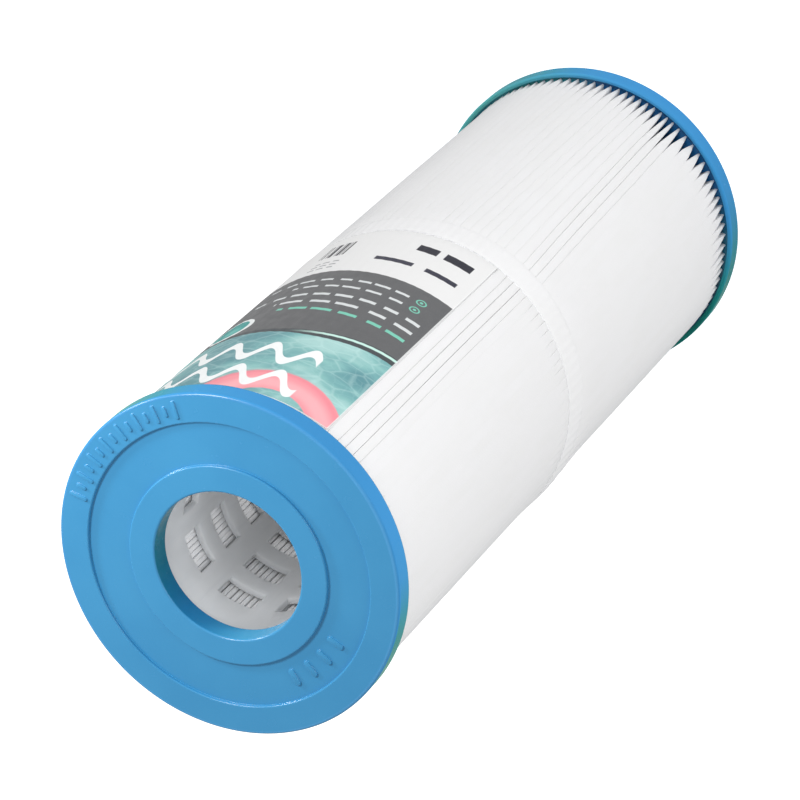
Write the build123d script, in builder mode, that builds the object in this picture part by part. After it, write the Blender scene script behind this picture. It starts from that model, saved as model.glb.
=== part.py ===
from build123d import *
import math
import os
from typing import NamedTuple

"""Pleated filter cartridge for a pool or spa pump: two cast end caps, a perforated core tube,
a pleated sheet potted between the caps, a strap round the pleats and a printed film label.

Millimetres and degrees, +Z up. The cartridge stands on its lower cap: the origin is the centre of
that cap's outer face, and the axis of the cartridge is the Z axis. The label faces -Y.
"""

os.makedirs("parts", exist_ok=True)

LENGTH = 338.0  # over the two caps

# ---------------------------------------------------------------- core tube sizes
CORE_RI, CORE_RO = 28.0, 30.5
CORE_SET = 4.5  # the core's ends sit this far inside the faces of the caps
WIN_COLS, WIN_ROWS = 8, 15
WIN_W, WIN_H, WIN_R = 14.3, 10.6, 1.2  # width, height and corner radius of a window
WIN_PITCH = 19.9  # between rows
WIN_TOP = LENGTH - 29.6  # middle of the top row
WIN_AT = -173.5  # middle of the first column
WIN_OVERCUT = 5.0  # the cut runs this far past the core's outside

# ---------------------------------------------------------------- end cap sizes
# Heights are from the cap's outer face.
CAP_R = 125.0 / 2
BORE_R = 54.0 / 2  # opening
COLLAR_R = 36.5  # raised collar round the opening
RING_R = 51.9  # inner edge of the raised outer ring
RECESS = 1.2  # depth of the annulus between them
CAP_H = 8.4  # height of the outer wall, up to the top of the rim
RIM_R = 60.5  # inner face of the rim
FLOOR = 6.2  # level of the potting inside the rim
BORE_TOP = 8.3  # height of the thin sleeve that laps inside the core
EDGE_R = 1.3  # rounding of the outer edge
MOUTH_R = 1.0  # rounding of the opening's edge
STEP_R = 0.4  # rounding of the recess's edges
RIM_EDGE_R = 0.8  # rounding of the rim
CORNER_TOL = 0.01  # a profile vertex this near a listed corner is that corner

# Raised pads in a row on the recess floor
PAD_R, PAD_N, PAD_PITCH = 44.2, 4, 9.6  # radius of the row, count, degrees apart
PAD_W, PAD_L, PAD_H = 1.7, 6.2, 0.45
PAD_AT = 118.0  # middle of the row
PAD_ROOT = 0.5  # the pads run this far into the cap

# ---------------------------------------------------------------- pleated sheet sizes
PLEATS = 104
PLEAT_PITCH = 360.0 / PLEATS
TIP_R = 59.8  # outside of the outer folds
ROOT_R = 31.0  # inside of the inner folds
SHEET = 0.5  # thickness
FOLD_OUT, FOLD_IN = 1.05, 0.42  # centre-line radii of the outer and inner folds
FOLD_OUT_AT = TIP_R - SHEET / 2 - FOLD_OUT  # fold centres, from the cartridge's axis
FOLD_IN_AT = ROOT_R + SHEET / 2 + FOLD_IN
SHEET_SET = 3.5  # the sheet's edges are cast this far inside the faces of the caps
SEAM_AT = 60.0  # where the ends of the sheet meet
SEAM_OUT = 0.7  # how far the free walls run on where the seam's fold would start
SEAM_DEPTH = 2.6  # depth of the bead between them

# ---------------------------------------------------------------- strap and glue sizes
BAND_Z0, BAND_Z1 = 165.0, 178.0
BAND_T = 0.5
GLUE_T = 0.15
# Faces of the strap, first under and then over the glue
UNDER_RI = TIP_R + 0.1
UNDER_RO = UNDER_RI + BAND_T
OVER_RI = UNDER_RO + GLUE_T
OVER_RO = OVER_RI + BAND_T
BAND_START = 8.0
BAND_LAP = 24.0  # overlap past a full turn
BAND_END = BAND_START + 360.0 + BAND_LAP
RAMP_START = BAND_START + 354.0  # the strap climbs here to pass over its own start
RAMP_END = RAMP_START + 5.0
GLUE_EDGE = 1.0  # millimetres from the glue to the strap's edges
GLUE_END = 1.5  # degrees from the glue to the ends of the overlap

# ---------------------------------------------------------------- label sizes
LABEL_Z0, LABEL_Z1 = BAND_Z1 + 0.5, 326.5
LABEL_RI, LABEL_T = TIP_R + 0.05, 0.2
LABEL_MID, LABEL_SPAN = -90.0, 100.0


def polar(radius, degrees):
    angle = math.radians(degrees)
    return (radius * math.cos(angle), radius * math.sin(angle))


def shift(point, direction, distance):
    return (point[0] + direction[0] * distance, point[1] + direction[1] * distance)


def prism(profile, z0, z1):
    """A flat profile extruded from z0 to z1."""
    with BuildPart() as solid:
        with BuildSketch(Plane.XY.offset(z0)):
            add(profile)
        extrude(amount=z1 - z0)
    return solid.part


def arc_strip(r_in, r_out, start, end):
    """Flat profile of a strip curved round the axis."""
    with BuildSketch() as strip:
        with BuildLine():
            CenterArc((0, 0), r_in, start, end - start)
            Line(polar(r_in, end), polar(r_out, end))
            CenterArc((0, 0), r_out, end, start - end)
            Line(polar(r_out, start), polar(r_in, start))
        make_face()
    return strip.sketch


# ---------------------------------------------------------------- one face of the folded sheet
class Pleat(NamedTuple):
    """A wall in, an inner fold, a wall out and an outer fold, as points and wall directions."""

    in_start: tuple
    in_end: tuple
    inner_fold: tuple
    out_start: tuple
    out_end: tuple
    outer_fold: tuple
    in_dir: tuple
    out_dir: tuple


def wall_direction(start, end, turn):
    """Unit vectors along and square to the wall that crosses between two fold centres."""
    dx, dy = end[0] - start[0], end[1] - start[1]
    distance = math.hypot(dx, dy)
    lean = turn * math.asin((FOLD_OUT + FOLD_IN) / distance)
    ux, uy = dx / distance, dy / distance
    x = ux * math.cos(lean) - uy * math.sin(lean)
    y = ux * math.sin(lean) + uy * math.cos(lean)
    return (x, y), (y, -x)


def pleat_face(side):
    """Pleats of one face of the sheet: side +1 is the outside, -1 the inside."""
    r_out = FOLD_OUT + side * SHEET / 2
    r_in = FOLD_IN - side * SHEET / 2
    pleats = []
    for k in range(PLEATS):
        start = SEAM_AT + PLEAT_PITCH * k
        middle, end = start + PLEAT_PITCH / 2, start + PLEAT_PITCH
        outer, inner = polar(FOLD_OUT_AT, start), polar(FOLD_IN_AT, middle)
        next_outer = polar(FOLD_OUT_AT, end)
        in_dir, in_normal = wall_direction(outer, inner, 1.0)
        out_dir, out_normal = wall_direction(inner, next_outer, -1.0)
        pleats.append(
            Pleat(
                in_start=shift(outer, in_normal, r_out),
                in_end=shift(inner, in_normal, -r_in),
                inner_fold=polar(FOLD_IN_AT - r_in, middle),
                # the wall out leans the other way, so its normal points to the same face
                out_start=shift(inner, out_normal, -r_in),
                out_end=shift(next_outer, out_normal, r_out),
                outer_fold=polar(FOLD_OUT_AT + r_out, end),
                in_dir=in_dir,
                out_dir=out_dir,
            )
        )
    # There is no fold at the seam: the first and last walls run on instead.
    first, last = pleats[0], pleats[-1]
    pleats[0] = first._replace(in_start=shift(first.in_start, first.in_dir, -SEAM_OUT))
    pleats[-1] = last._replace(out_end=shift(last.out_end, last.out_dir, SEAM_OUT))
    return pleats


OUTSIDE, INSIDE = pleat_face(1), pleat_face(-1)

# ---------------------------------------------------------------- flat profiles used more than once
with BuildSketch() as sheet_profile:
    with BuildLine():
        for pleats in (OUTSIDE, INSIDE):
            for i, pleat in enumerate(pleats):
                Line(pleat.in_start, pleat.in_end)
                ThreePointArc(pleat.in_end, pleat.inner_fold, pleat.out_start)
                Line(pleat.out_start, pleat.out_end)
                if i < PLEATS - 1:
                    ThreePointArc(pleat.out_end, pleat.outer_fold, pleats[i + 1].in_start)
        Line(OUTSIDE[0].in_start, INSIDE[0].in_start)
        Line(OUTSIDE[-1].out_end, INSIDE[-1].out_end)
    make_face()

seam_first, seam_last = INSIDE[0], INSIDE[-1]
with BuildSketch() as bead_profile:
    with BuildLine():
        Polyline(
            seam_first.in_start,
            shift(seam_first.in_start, seam_first.in_dir, SEAM_DEPTH),
            shift(seam_last.out_end, seam_last.out_dir, -SEAM_DEPTH),
            seam_last.out_end,
            close=True,
        )
    make_face()

with BuildSketch() as core_profile:
    Circle(CORE_RO)
    Circle(CORE_RI, mode=Mode.SUBTRACT)

# ---------------------------------------------------------------- pleated sheet and its seam bead
pleated_media = prism(sheet_profile.sketch, SHEET_SET, LENGTH - SHEET_SET)
media_seam_bead = prism(bead_profile.sketch, SHEET_SET, LENGTH - SHEET_SET)

# ---------------------------------------------------------------- core tube
with BuildPart() as core_tube:
    with BuildSketch(Plane.XY.offset(CORE_SET)):
        add(core_profile.sketch)
    extrude(amount=LENGTH - 2 * CORE_SET)
    # each cut goes right through, and so makes two opposite columns
    for col in range(WIN_COLS // 2):
        angle = math.radians(WIN_AT + col * 360.0 / WIN_COLS)
        with BuildSketch(
            Plane(
                origin=(0, 0, 0),
                x_dir=(-math.sin(angle), math.cos(angle), 0),
                z_dir=(math.cos(angle), math.sin(angle), 0),
            )
        ):
            with Locations(*[(0, WIN_TOP - row * WIN_PITCH) for row in range(WIN_ROWS)]):
                RectangleRounded(WIN_W, WIN_H, WIN_R)
        extrude(amount=CORE_RO + WIN_OVERCUT, both=True, mode=Mode.SUBTRACT)

# ---------------------------------------------------------------- end caps
# Half section of a cap: radius, height from the outer face
CORNERS = [
    (BORE_R, 0.0),
    (COLLAR_R, 0.0),
    (COLLAR_R, RECESS),
    (RING_R, RECESS),
    (RING_R, 0.0),
    (CAP_R, 0.0),
    (CAP_R, CAP_H),
    (RIM_R, CAP_H),
    (RIM_R, FLOOR),
    (CORE_RI, FLOOR),
    (CORE_RI, BORE_TOP),
    (BORE_R, BORE_TOP),
]
# Rounding radius: the corners that get it
ROUNDED = {
    MOUTH_R: CORNERS[0:1],
    STEP_R: CORNERS[1:5],
    EDGE_R: CORNERS[5:6],
    RIM_EDGE_R: CORNERS[6:8],
}

with BuildPart() as bottom_end_cap:
    with BuildSketch(Plane.XZ) as cap_profile:
        with BuildLine():
            Polyline(*CORNERS, close=True)
        make_face()
        for radius, corners in ROUNDED.items():
            fillet(
                [
                    v
                    for v in cap_profile.sketch_local.vertices()
                    if any(math.hypot(v.X - x, v.Y - y) < CORNER_TOL for x, y in corners)
                ],
                radius,
            )
    revolve(axis=Axis.Z)
    with BuildSketch(Plane.XY.offset(RECESS - PAD_H)):
        for i in range(PAD_N):
            pad_angle = PAD_AT + (i - (PAD_N - 1) / 2) * PAD_PITCH
            with Locations(Location((*polar(PAD_R, pad_angle), 0), (0, 0, pad_angle))):
                SlotOverall(PAD_L, PAD_W)
    extrude(amount=PAD_H + PAD_ROOT)
    # grooves that the core, the sheet and its bead are cast into, cut out past the cap's top
    with BuildSketch(Plane.XY.offset(CORE_SET)):
        add(core_profile.sketch)
    extrude(amount=CAP_H, mode=Mode.SUBTRACT)
    with BuildSketch(Plane.XY.offset(SHEET_SET)):
        add(sheet_profile.sketch)
        add(bead_profile.sketch)
    extrude(amount=CAP_H, mode=Mode.SUBTRACT)

with BuildPart() as top_end_cap:
    mirror(bottom_end_cap.part, about=Plane.XY.offset(LENGTH / 2))

# ---------------------------------------------------------------- strap and the glue in its overlap
with BuildSketch() as band_profile:
    with BuildLine():
        CenterArc((0, 0), UNDER_RI, BAND_START, RAMP_START - BAND_START)
        Line(polar(UNDER_RI, RAMP_START), polar(OVER_RI, RAMP_END))
        CenterArc((0, 0), OVER_RI, RAMP_END, BAND_END - RAMP_END)
        Line(polar(OVER_RI, BAND_END), polar(OVER_RO, BAND_END))
        CenterArc((0, 0), OVER_RO, BAND_END, RAMP_END - BAND_END)
        Line(polar(OVER_RO, RAMP_END), polar(UNDER_RO, RAMP_START))
        CenterArc((0, 0), UNDER_RO, RAMP_START, BAND_START - RAMP_START)
        Line(polar(UNDER_RO, BAND_START), polar(UNDER_RI, BAND_START))
    make_face()
mid_band = prism(band_profile.sketch, BAND_Z0, BAND_Z1)

glue_profile = arc_strip(
    UNDER_RO, OVER_RI, BAND_START + GLUE_END, BAND_START + BAND_LAP - GLUE_END
)
band_seam_adhesive = prism(glue_profile, BAND_Z0 + GLUE_EDGE, BAND_Z1 - GLUE_EDGE)

# ---------------------------------------------------------------- label
label_profile = arc_strip(
    LABEL_RI, LABEL_RI + LABEL_T, LABEL_MID - LABEL_SPAN / 2, LABEL_MID + LABEL_SPAN / 2
)
label = prism(label_profile, LABEL_Z0, LABEL_Z1)

# ---------------------------------------------------------------- files
PIECES = {
    "bottom_end_cap": bottom_end_cap.part,
    "top_end_cap": top_end_cap.part,
    "core_tube": core_tube.part,
    "pleated_media": pleated_media,
    "media_seam_bead": media_seam_bead,
    "mid_band": mid_band,
    "band_seam_adhesive": band_seam_adhesive,
    "label": label,
}
for name, piece in PIECES.items():
    piece.label = name
    export_step(piece, f"parts/{name}.step")
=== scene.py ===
"""Looks for a pleated filter cartridge: two urethane end caps, a pleated pack round a windowed
core, a strap at mid height and a printed label. It stands on z = 0 with its axis on Z.
Lengths are worked in mm and written in metres. Azimuths are degrees about +Z from +X."""

import bmesh
import bpy
import math
import numpy as np
from mathutils import Matrix, Vector
from types import SimpleNamespace


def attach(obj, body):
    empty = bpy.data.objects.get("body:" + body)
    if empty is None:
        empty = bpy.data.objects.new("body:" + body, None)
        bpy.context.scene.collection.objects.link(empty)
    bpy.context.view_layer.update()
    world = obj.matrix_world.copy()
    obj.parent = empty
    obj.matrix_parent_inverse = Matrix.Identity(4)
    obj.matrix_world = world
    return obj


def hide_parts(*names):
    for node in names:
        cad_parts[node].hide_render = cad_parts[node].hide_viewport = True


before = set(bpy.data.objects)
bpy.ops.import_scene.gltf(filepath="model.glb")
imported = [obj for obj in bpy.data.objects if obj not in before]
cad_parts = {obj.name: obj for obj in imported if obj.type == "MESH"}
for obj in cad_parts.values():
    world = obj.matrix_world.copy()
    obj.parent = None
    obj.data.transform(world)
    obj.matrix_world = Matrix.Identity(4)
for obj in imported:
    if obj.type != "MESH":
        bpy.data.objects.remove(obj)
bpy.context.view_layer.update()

# ------------------------------------------------------------------ sizes, mm and degrees
HEIGHT = 338.0
# end caps: outer wall, bore, and the recess between collar and ring in the outer face
CAP_R, BORE_R, COLLAR_R, RING_R, RECESS = 62.5, 27.0, 36.5, 51.9, 1.2
# wall height, wall's inner radius, potting level inside the wall, height of the bore's lip
CAP_H, RIM_R, FLOOR, BORE_TOP = 8.4, 60.5, 6.2, 8.3
CORE_RI, CORE_RO, CORE_SET = 28.0, 30.5, 4.5
PLEATS, SHEET = 104, 0.5
TIP_R, ROOT_R = 59.75, 31.25
SEAM_AT = 60.0
STRAP_Z0, STRAP_Z1, STRAP_T, STRAP_AT = 165.0, 178.0, 0.36, 8.0
STRAP_MID = (STRAP_Z0 + STRAP_Z1) / 2
LABEL_Z0, LABEL_Z1, LABEL_A0, LABEL_A1 = 178.6, 326.4, -140.8, -40.0
ARC_R = 60.0  # radius at which UVs and edge distances count mm along the arc
CAM_AZ = -150.0  # azimuth of the side that faces the camera


# ------------------------------------------------------------------ shape tools
def smooth(x):
    x = np.clip(x, 0.0, 1.0)
    return x * x * (3 - 2 * x)


def bell(x, width, power=2):
    """1 at x = 0, dying away over width; a higher power gives a flatter top."""
    return np.exp(-((x / width) ** power))


def wrap(degrees):
    return (degrees + 180) % 360 - 180


def off_camera(angle):
    """Degrees from the camera's azimuth, -180 to 180, of an angle in radians."""
    return wrap(np.degrees(angle) - CAM_AZ)


def directions(angle):
    """Unit vectors in XY, outward and along the arc, at an angle in radians."""
    cos, sin = np.cos(angle), np.sin(angle)
    return np.stack([cos, sin], -1), np.stack([-sin, cos], -1)


def make(name, verts, faces, uv=None, sharp=None):
    """A smooth-shaded object from points in mm. uv is per vertex, in mm; sharp is in degrees."""
    mesh = bpy.data.meshes.new(name)
    mesh.from_pydata((np.asarray(verts, float) / 1000.0).tolist(), [], faces)
    mesh.validate()
    if uv is not None:
        layer = mesh.uv_layers.new(name="Sheet")
        index = np.empty(len(mesh.loops), np.int32)
        mesh.loops.foreach_get("vertex_index", index)
        layer.data.foreach_set("uv", np.asarray(uv, np.float32)[index].ravel())
    obj = bpy.data.objects.new(name, mesh)
    bpy.context.scene.collection.objects.link(obj)
    mesh.shade_smooth()
    if sharp is not None:
        mesh.set_sharp_from_angle(angle=math.radians(sharp))
    return obj


def outward(obj):
    """Points every face of a closed mesh outwards."""
    work = bmesh.new()
    work.from_mesh(obj.data)
    bmesh.ops.recalc_face_normals(work, faces=work.faces)
    work.to_mesh(obj.data)
    work.free()
    return obj


def dress(obj, material, part):
    """Gives an object its material and tells the frame which CAD part it stands for."""
    obj.data.materials.clear()
    obj.data.materials.append(material)
    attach(obj, "root")
    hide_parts(part)


def skin(rings, count, start=0, closed=False, flip=False):
    """Quads over rings of count points. Unless the rings close on themselves, both ends are
    filled."""
    faces = []
    for i in range(rings if closed else rings - 1):
        here, there = start + i * count, start + (i + 1) % rings * count
        for k in range(count):
            after = (k + 1) % count
            quad = (here + k, there + k, there + after, here + after)
            faces.append(quad[:1] + quad[:0:-1] if flip else quad)
    if not closed:
        first = tuple(range(start, start + count))
        last = tuple(i + (rings - 1) * count for i in first)
        faces += [first[::-1], last] if flip else [first, last[::-1]]
    return faces


# ------------------------------------------------------------------ shader tools
def feed(tree, value, socket):
    """Links a value or an output to an input, or sets the input to a plain number or colour."""
    if isinstance(value, Value):
        value = value.socket
    if hasattr(value, "is_output"):
        tree.links.new(value, socket)
    else:
        socket.default_value = value


class Value:
    """A number in a shader tree, with arithmetic."""

    def __init__(self, tree, socket):
        self.tree, self.socket = tree, socket

    def math(self, operation, *others):
        node = self.tree.nodes.new("ShaderNodeMath")
        node.operation = operation
        for i, value in enumerate((self,) + others):
            feed(self.tree, value, node.inputs[i])
        return Value(self.tree, node.outputs[0])

    def __add__(self, other):
        return self.math("ADD", other)

    def __sub__(self, other):
        return self.math("SUBTRACT", other)

    def __rsub__(self, other):
        return (self * -1.0) + other

    def __mul__(self, other):
        return self.math("MULTIPLY", other)

    def __truediv__(self, other):
        return self.math("DIVIDE", other)

    def abs(self):
        return self.math("ABSOLUTE")

    def max(self, other):
        return self.math("MAXIMUM", other)

    def sin(self):
        return self.math("SINE")

    def floor(self):
        return self.math("FLOOR")

    def fract(self):
        return self.math("FRACT")

    def sqrt(self):
        return self.math("SQRT")

    def step(self, lo, hi):
        """0 at lo and beyond, 1 at hi and beyond, smooth between."""
        node = self.tree.nodes.new("ShaderNodeMapRange")
        node.interpolation_type = "SMOOTHSTEP"
        feed(self.tree, self, node.inputs[0])
        node.inputs[1].default_value, node.inputs[2].default_value = lo, hi
        return Value(self.tree, node.outputs[0])

    def fall(self, lo, hi):
        """1 below lo, 0 above hi, smooth between."""
        return 1.0 - self.step(lo, hi)


class Material:
    """A material with a Principled shader and helpers for its tree."""

    def __init__(self, name):
        self.data = bpy.data.materials.new(name)
        self.data.use_nodes = True
        self.tree = self.data.node_tree
        self.tree.nodes.clear()
        self.output = self.node("OutputMaterial")
        self.shader = self.node("BsdfPrincipled")
        self.link(self.shader.outputs[0], self.output.inputs[0])

    def node(self, kind):
        return self.tree.nodes.new("ShaderNode" + kind)

    def link(self, value, socket):
        feed(self.tree, value, socket)

    def set(self, **inputs):
        """Sets the Principled shader's inputs, with _ for each space in a name."""
        for key, value in inputs.items():
            self.link(value, self.shader.inputs[key.replace("_", " ")])

    def coords(self):
        return self.node("TexCoord").outputs["Object"]

    def uv(self):
        node = self.node("UVMap")
        node.uv_map = "Sheet"
        return node.outputs[0]

    def split(self, vector):
        node = self.node("SeparateXYZ")
        self.link(vector, node.inputs[0])
        return tuple(Value(self.tree, node.outputs[i]) for i in range(3))

    def cylinder(self, place):
        """Radius in metres, side, and height in metres. side runs from 0 at 90 degrees before
        the camera's azimuth to 1 at 90 degrees past it."""
        x, y, z = self.split(place)
        radius = (x * x + y * y).sqrt()
        turn = math.radians(CAM_AZ + 90)
        side = (x * math.cos(turn) + y * math.sin(turn)) / radius * 0.5 + 0.5
        return radius, side, z

    def join(self, x, y):
        node = self.node("CombineXYZ")
        self.link(x, node.inputs[0])
        self.link(y, node.inputs[1])
        return node.outputs[0]

    def scaled(self, vector, scale):
        node = self.node("Mapping")
        self.link(vector, node.inputs[0])
        node.inputs["Scale"].default_value = scale
        return node.outputs[0]

    def noise(self, vector, scale, detail=3.0, rough=0.5):
        node = self.node("TexNoise")
        self.link(vector, node.inputs["Vector"])
        node.inputs["Scale"].default_value = scale
        node.inputs["Detail"].default_value = detail
        node.inputs["Roughness"].default_value = rough
        return Value(self.tree, node.outputs[0])

    def sheet_noise(self, uv, per_mm, detail=3.0, rough=0.5):
        """Noise on a sheet; per_mm is its frequency along u and v."""
        return self.noise(self.scaled(uv, (*per_mm, 1.0)), 1.0, detail, rough)

    def voronoi(self, vector, scale, feature="F1"):
        node = self.node("TexVoronoi")
        node.feature = feature
        self.link(vector, node.inputs["Vector"])
        node.inputs["Scale"].default_value = scale
        return Value(self.tree, node.outputs["Distance"])

    def white(self, value):
        node = self.node("TexWhiteNoise")
        node.noise_dimensions = "1D"
        self.link(value, node.inputs["W"])
        return Value(self.tree, node.outputs["Value"])

    def mix(self, share, under, over):
        """Colour under where share is 0 and over where it is 1."""
        node = self.node("Mix")
        node.data_type = "RGBA"
        node.clamp_factor = True
        for i, value in ((0, share), (6, under), (7, over)):
            self.link(value, node.inputs[i])
        return node.outputs[2]

    def ramp(self, value, *stops):
        """stops: (position, 8-bit colour)."""
        node = self.node("ValToRGB")
        self.link(value, node.inputs[0])
        elements = node.color_ramp.elements
        while len(elements) < len(stops):
            elements.new(0.5)
        for element, (position, colour) in zip(elements, stops):
            element.position, element.color = position, rgb(*colour)
        return node.outputs[0]

    def bump(self, *layers):
        """layers: (height, strength, distance in metres)."""
        last = None
        for height, strength, distance in layers:
            node = self.node("Bump")
            node.inputs["Strength"].default_value = strength
            node.inputs["Distance"].default_value = distance
            self.link(height, node.inputs["Height"])
            if last is not None:
                self.link(last, node.inputs["Normal"])
            last = node.outputs[0]
        self.link(last, self.shader.inputs["Normal"])
        return last

    def facing(self):
        node = self.node("LayerWeight")
        node.inputs[0].default_value = 0.5
        return Value(self.tree, node.outputs["Facing"])

    def translucent(self, share, colour, normal):
        """Lets a share of the light through."""
        through = self.node("BsdfTranslucent")
        self.link(colour, through.inputs[0])
        self.link(normal, through.inputs["Normal"])
        self.mix_output(share, self.shader, through)

    def mix_output(self, share, first, second):
        """Sends the output a blend of two shaders: first where share is 0."""
        mix = self.node("MixShader")
        self.link(share, mix.inputs[0])
        self.link(first.outputs[0], mix.inputs[1])
        self.link(second.outputs[0], mix.inputs[2])
        self.link(mix.outputs[0], self.output.inputs[0])


def rgb(red, green, blue, tone=1.0):
    """8-bit screen colour to linear RGBA, brightened by tone."""

    def linear(level):
        level /= 255
        return level / 12.92 if level <= 0.04045 else ((level + 0.055) / 1.055) ** 2.4

    return (*(min(1.0, linear(level) * tone) for level in (red, green, blue)), 1.0)


# ------------------------------------------------------------------ materials
def urethane():
    """Moulded blue urethane. Radii and heights in its masks are in metres."""
    mat = Material("urethane_blue")
    place = mat.coords()
    cloud = mat.noise(place, scale=38.0, detail=4.0, rough=0.55)
    speck = mat.noise(place, scale=900.0, detail=2.0, rough=0.6)
    pits = mat.voronoi(place, scale=420.0)
    colour = mat.mix(cloud.step(lo=0.25, hi=0.75), rgb(56, 140, 191), rgb(66, 151, 200))
    colour = mat.mix(0.55, colour, rgb(60, 145, 195))
    colour = mat.mix(speck.step(lo=0.55, hi=0.75) * 0.05, colour, rgb(92, 172, 220))
    colour = mat.mix(pits.step(lo=0.06, hi=0.02) * 0.06, colour, rgb(36, 112, 170))
    # painted shade: the potting between the folds is painted a deeper blue for the shade down the
    # narrow gaps, greener towards side 0, and a paler lit teal towards side 1 where light reaches
    # it
    radius, side, z = mat.cylinder(place)
    inner = radius.fall(0.0603, 0.0606) * radius.step(0.0290, 0.0300)
    low_level, high_level = (
        (z - level / 1000).abs().fall(0.0006, 0.0010) for level in (FLOOR, HEIGHT - FLOOR)
    )
    level = low_level.max(high_level)
    potting = mat.mix(side.step(lo=0.30, hi=0.08) * 0.75, rgb(12, 76, 132), rgb(14, 92, 88))
    potting = mat.mix(side.step(lo=0.78, hi=0.95) * 0.85, potting, rgb(72, 178, 164))
    colour = mat.mix(inner * level * 0.85, colour, potting)
    # the outer wall turns teal where it is seen edge on
    low = z.fall(0.05, 0.10)  # 1 on the lower cap, 0 on the upper
    edge = low * radius.step(0.0600, 0.0606) + (1.0 - low) * radius.step(0.0608, 0.0620)
    tilt = mat.facing() - side.step(lo=0.5, hi=0.85) * 0.06
    teal = mat.ramp(
        tilt,
        (0.50, (66, 146, 206)), (0.60, (62, 144, 200)), (0.655, (56, 142, 180)),
        (0.72, (44, 141, 150)), (0.80, (32, 136, 124)), (0.90, (40, 146, 120)),
        (1.0, (84, 170, 150)),
    )
    colour = mat.mix(edge * 0.92, colour, teal)
    colour = mat.mix(edge * side.step(lo=0.62, hi=0.95) * 0.30, colour, rgb(40, 120, 158))
    # and so does the narrow top of the lower rim
    lip = low * radius.step(0.0602, 0.0606) * z.step(0.0074, 0.0080)
    lip_colour = mat.ramp(
        side,
        (0.0, (22, 124, 92)), (0.024, (30, 136, 116)), (0.045, (36, 142, 132)),
        (0.067, (46, 144, 152)), (0.117, (58, 144, 186)), (0.18, (62, 146, 204)),
        (0.75, (68, 146, 200)), (0.854, (72, 150, 188)), (0.933, (74, 152, 168)),
        (1.0, (80, 156, 144)),
    )
    colour = mat.mix(lip * 0.85, colour, lip_colour)
    # painted highlight: a paler line on the upper cap's outer rounding, on the side the lamps leave
    # dark
    painted_rounding_highlight = (1.0 - low) * radius.step(0.0611, 0.0616) * radius.fall(0.0619, 0.0624)
    painted_rounding_highlight = painted_rounding_highlight * side.fall(0.35, 0.85) * z.step(0.330, 0.334)
    colour = mat.mix(painted_rounding_highlight * 0.30, colour, rgb(96, 180, 228))
    # painted shade down the bore: darker and teal on the side turned away from the lamps, paler
    # where they reach the wall
    hole = radius.fall(0.0269, 0.0272)
    bore_painted_shade = mat.ramp(
        side,
        (0.12, (71, 161, 203)), (0.35, (30, 126, 182)), (0.5, (25, 120, 177)),
        (0.65, (11, 123, 165)), (0.8, (2, 121, 137)), (0.92, (3, 129, 136)),
    )
    colour = mat.mix(hole * 0.96, colour, bore_painted_shade)
    dull = edge * (low + (1.0 - low) * radius.step(0.0619, 0.0624))
    mat.set(
        Base_Color=colour,
        Roughness=mat.noise(place, scale=160.0).step(lo=0.2, hi=0.8) * 0.06 + 0.22,
        Specular_IOR_Level=(1.0 - hole) * (1.0 - dull) * 0.46 + 0.02,
    )
    mat.bump(
        (mat.noise(place, scale=55.0), 0.05, 0.0010),
        (mat.noise(place, scale=1400.0, detail=2.0, rough=0.7), 0.05, 0.00005),
        (pits.step(lo=0.02, hi=0.10), 0.05, 0.00006),
    )
    return mat.data


def polyester(name, tone, share, cut_edge=None, inside=False):
    """Spun-bonded sheet: matt white, pointed in a small diamond pattern, with stray fibres.
    share is the light let through, cut_edge the height in mm of a cut edge."""
    mat = Material(name)
    uv = mat.uv()
    u, v, _ = mat.split(uv)
    fibre = mat.sheet_noise(uv, (3.0, 0.45), detail=4.0, rough=0.7)
    cross_fibre = mat.sheet_noise(uv, (0.5, 2.6), detail=4.0, rough=0.7)
    cloud = mat.sheet_noise(uv, (0.05, 0.03))
    shade = rgb(233, 235, 238, tone)
    white, warm = rgb(247, 247, 248, tone), rgb(245, 245, 245, tone)
    colour = mat.mix(cloud.step(lo=0.35, hi=0.7) * 0.6, white, warm)
    colour = mat.mix(fibre.step(lo=0.55, hi=0.8) * 0.30, colour, shade)
    pale = rgb(250, 250, 250, tone)
    colour = mat.mix(cross_fibre.step(lo=0.58, hi=0.8) * 0.22, colour, pale)
    dots = ((u * 4.2).sin() * (v * 4.2).sin()).step(lo=0.55, hi=0.9)
    colour = mat.mix(dots * 0.18, colour, shade)
    # painted shade: greyer where the sheet is seen edge on, towards the outline
    edge_on_shade = mat.facing().step(lo=0.76, hi=0.98)
    colour = mat.mix(edge_on_shade * 0.32, colour, rgb(204, 206, 209, tone))
    if inside:  # painted shade on the folds behind the core's windows, darker away from the label
        radius, side, _ = mat.cylinder(mat.coords())
        dull = side.step(lo=0.7, hi=0.4) * 0.50 + 0.04
        colour = mat.mix(radius.fall(0.036, 0.038) * dull, colour, rgb(206, 206, 207))
    if cut_edge:  # painted shade: a little greyer along the cut edge, toning down the highlight it catches
        z = mat.split(mat.coords())[2]
        top = cut_edge / 1000
        cut_edge_shade = z.step(top - 0.0007, top - 0.0002)
        colour = mat.mix(cut_edge_shade * 0.28, colour, rgb(214, 216, 218, tone))
    mat.set(
        Base_Color=colour,
        Roughness=fibre.step(lo=0.3, hi=0.7) * 0.12 + 0.78,
        Specular_IOR_Level=0.25,
        Sheen_Weight=0.12,
        Sheen_Roughness=0.5,
    )
    normal = mat.bump(
        (fibre, 0.35, 0.00012),
        (cross_fibre, 0.30, 0.00010),
        (dots * -1.0 + 1.0, 0.35, 0.00010),
    )
    mat.translucent(share, colour, normal)
    return mat.data


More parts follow.
